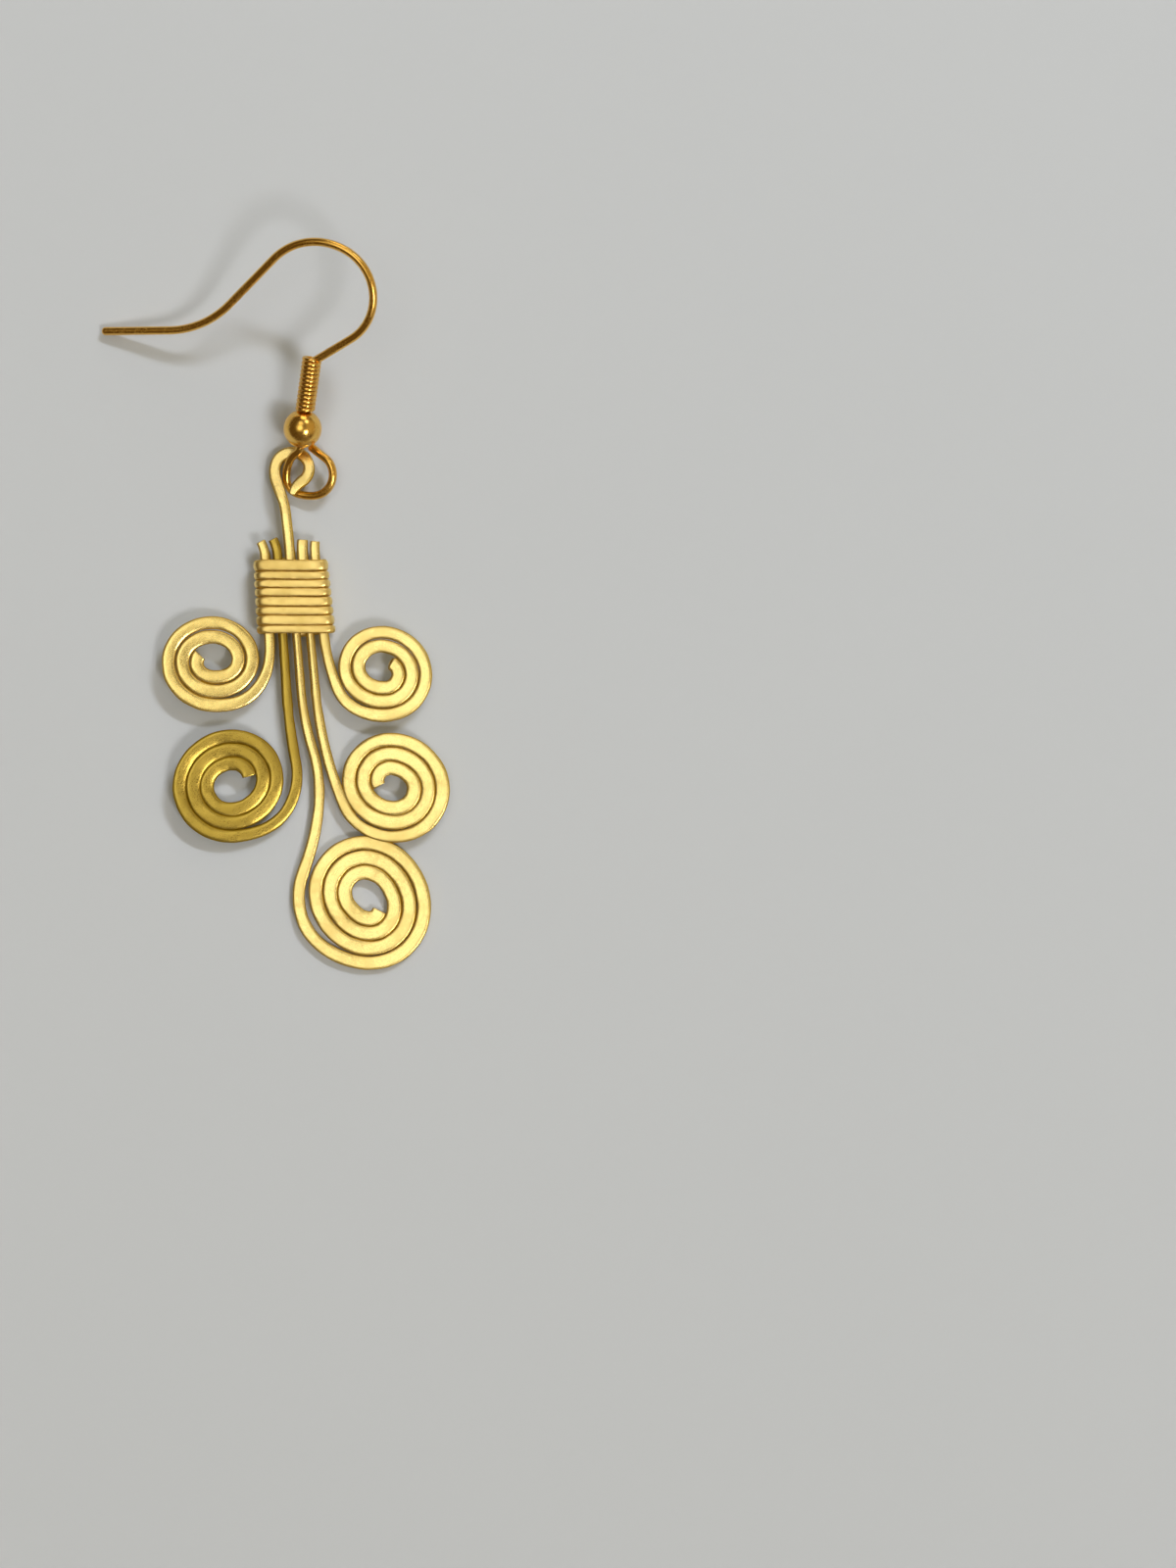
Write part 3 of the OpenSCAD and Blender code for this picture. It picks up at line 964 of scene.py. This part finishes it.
def older_shaded_brass():
    """The same brass darker all over, on the lower left wire: partly its own tarnish, and partly painted
    shade for the light that its spiral turns away from.
    """
    return metal("older_shaded_brass", colour=(0.53, 0.38, 0.075), tarnish=(0.42, 0.28, 0.01), patches=0.15,
                 sides=0.9, patch_size=0.35, lines=0.06, dents=0.8, grain=0.1, rough=(0.24, 0.36),
                 bump=0.02)


def binding_brass():
    """Duller brass, rubbed on the turns and darker in the grooves."""
    return metal("binding_brass", colour=(0.97, 0.74, 0.28), tarnish=(0.62, 0.4, 0.02), patches=0.2,
                 sides=0.6, patch_size=0.4, lines=0.1, dents=0.8, grain=0.15, rough=(0.3, 0.42),
                 bump=0.02)


def gilt_plating():
    """Smooth orange-gold plating on drawn wire, browner in patches."""
    return metal("gilt_plating", colour=(0.9, 0.53, 0.12), tarnish=(0.45, 0.23, 0.04), patches=0.25,
                 sides=0.0, patch_size=0.5, lines=0.5, dents=0.2, grain=0.3, rough=(0.14, 0.26),
                 bump=0.006)


def gilt_bead():
    """The same plating, polished, on the bead."""
    return metal("gilt_bead", colour=(0.92, 0.56, 0.13), tarnish=(0.5, 0.26, 0.04), patches=0.25,
                 sides=0.0, patch_size=0.8, lines=0.1, dents=0.3, grain=0.4, rough=(0.16, 0.23),
                 bump=0.006)


def pale_table():
    """A pale matt table top with faint clouds."""
    material = bpy.data.materials.new("pale_table")
    material.use_nodes = True
    tree = material.node_tree
    shader = tree.nodes["Principled BSDF"]
    shader.inputs["Roughness"].default_value = 0.7
    shader.inputs["Specular IOR Level"].default_value = 0.2
    where = tree.nodes.new("ShaderNodeTexCoord").outputs["Object"]
    cloud = noise_node(tree, where, scale=18.0, detail=3.0)
    tree.links.new(mixed(tree, cloud, *TABLE_COLOURS), shader.inputs["Base Color"])
    return material


# The pieces


def finished(piece, node, material):
    piece.data.materials.append(material)
    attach(piece, "root")
    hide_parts(node)


YELLOW_BRASS = hammered_brass()
OLDER_SHADED_BRASS = older_shaded_brass()
GILT = gilt_plating()
for wire_name in SPIRALS:
    # The lower left wire gets the darker brass: partly its own tarnish, partly painted shade.
    brass = OLDER_SHADED_BRASS if wire_name == "lower_left" else YELLOW_BRASS
    finished(pendant_wire(wire_name), wire_name + "_wire", brass)
finished(binding(), "binding", binding_brass())
finished(hook_wire(), "ear_hook", GILT)
finished(coil_wire(), "coil", GILT)
finished(bead_ball(), "bead", gilt_bead())


# Table, light and camera


def table_top():
    mesh = bpy.data.meshes.new("table_top")
    corners = [(x * TABLE_REACH, y * TABLE_REACH, 0) for x, y in ((-1, -1), (1, -1), (1, 1), (-1, 1))]
    mesh.from_pydata(corners, [], [(0, 1, 2, 3)])
    mesh.materials.append(pale_table())
    top = bpy.data.objects.new("table_top", mesh)
    bpy.context.scene.collection.objects.link(top)
    top.location.z = -TABLE_BELOW


def ceiling_lamp():
    """A long soft lamp beyond the hook and to the right. The metal mirrors its patch instead."""
    data = bpy.data.lights.new("ceiling_lamp", "AREA")
    data.shape = "RECTANGLE"
    data.size = LAMP_LENGTH * CEILING
    data.size_y = LAMP_WIDTH * CEILING
    data.energy = LAMP_POWER
    data.color = LAMP_COLOUR
    lamp = bpy.data.objects.new("ceiling_lamp", data)
    bpy.context.scene.collection.objects.link(lamp)
    lamp.location = (LAMP_OVER[0] * CEILING, LAMP_OVER[1] * CEILING, CEILING)
    lamp.rotation_euler = (0, 0, math.atan2(LAMP_ALONG[1], LAMP_ALONG[0]))
    lamp.visible_glossy = False


def patch_share(tree, where, middle, full, reach):
    """1 within a patch of the room, falling to 0 where it ends."""
    dot = tree.nodes.new("ShaderNodeVectorMath")
    dot.operation = "DOT_PRODUCT"
    tree.links.new(where, dot.inputs[0])
    dot.inputs[1].default_value = np.array(middle) / np.linalg.norm(middle)
    return ramp(tree, dot.outputs["Value"], low=math.cos(math.radians(reach)),
                high=math.cos(math.radians(full)))


def studio_world():
    """The room round the table, with its patches of light."""
    world = bpy.data.worlds.new("studio")
    bpy.context.scene.world = world
    world.use_nodes = True
    tree = world.node_tree
    where = tree.nodes.new("ShaderNodeTexCoord").outputs["Generated"]
    room = ROOM
    for middle, full, reach, light in PATCHES:
        room = mixed(tree, patch_share(tree, where, middle, full, reach), room, light)
    tree.links.new(room, tree.nodes["Background"].inputs["Color"])


def camera_above():
    """The photograph's camera, straight above the table."""
    x, y, height = CAMERA_PLACE
    data = bpy.data.cameras.new("camera")
    data.sensor_fit = "AUTO"
    data.sensor_width = SENSOR
    data.lens = SENSOR * (height - FOCUS_HEIGHT) / VIEW_HEIGHT
    data.clip_start = 0.01
    data.clip_end = 10
    camera = bpy.data.objects.new("camera", data)
    camera.location = (x * MM, y * MM, height * MM)
    bpy.context.scene.collection.objects.link(camera)
    bpy.context.scene.camera = camera


table_top()
ceiling_lamp()
studio_world()
camera_above()
bpy.context.scene.view_settings.view_transform = "Standard"
bpy.context.scene.view_settings.look = "None"
bpy.context.scene.view_settings.exposure = 0.0
